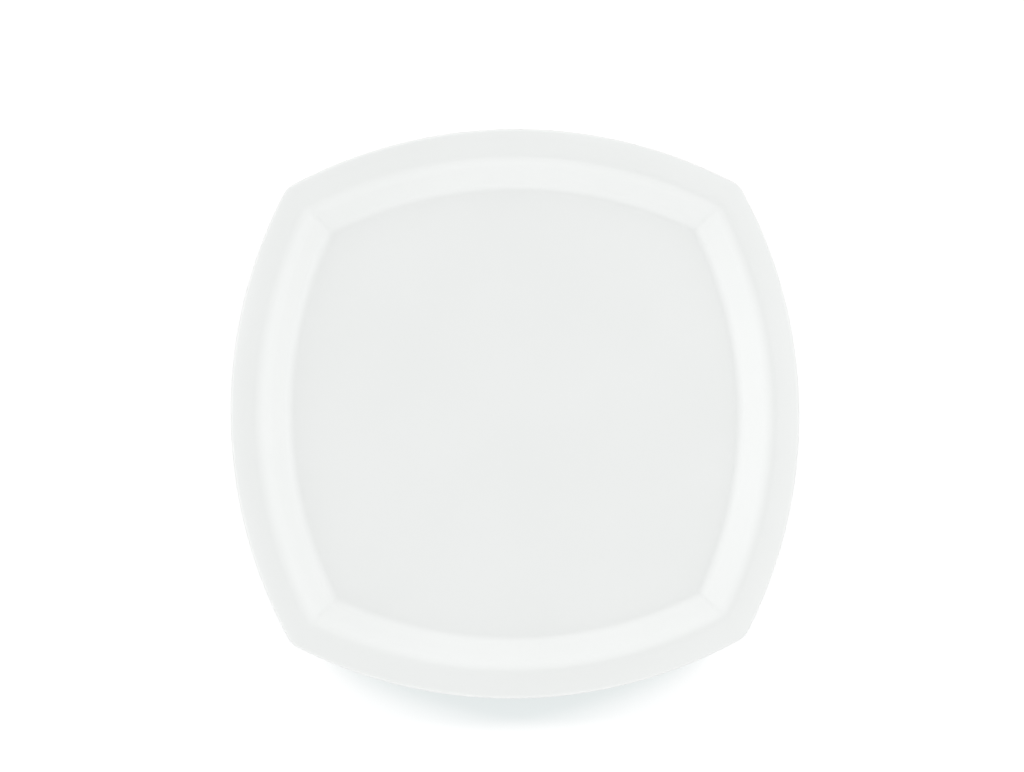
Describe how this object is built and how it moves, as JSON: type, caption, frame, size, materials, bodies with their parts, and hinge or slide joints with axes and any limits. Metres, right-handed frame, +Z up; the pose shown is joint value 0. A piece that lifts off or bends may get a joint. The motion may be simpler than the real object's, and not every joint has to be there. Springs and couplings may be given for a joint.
{
  "type": "square thali plate",
  "caption": "Plain glossy white square thali plate with bowed sides, a narrow raised rim, sloping walls and one wide flat well, for serving a full meal.",
  "frame": {"origin": "on the table under the middle of the plate, in the plane of the foot ring's tread", "axes": "+Z up out of the food face, +X and +Y through the middles of two neighbouring sides"},
  "size_m": [0.305, 0.305, 0.0155],
  "materials": {
    "white_melamine": "satin",
    "clear_glaze": "gloss"
  },
  "bodies": {
    "root": {"moulded_body": "white_melamine", "glaze_overlay": "clear_glaze"}
  },
  "joints": []
}
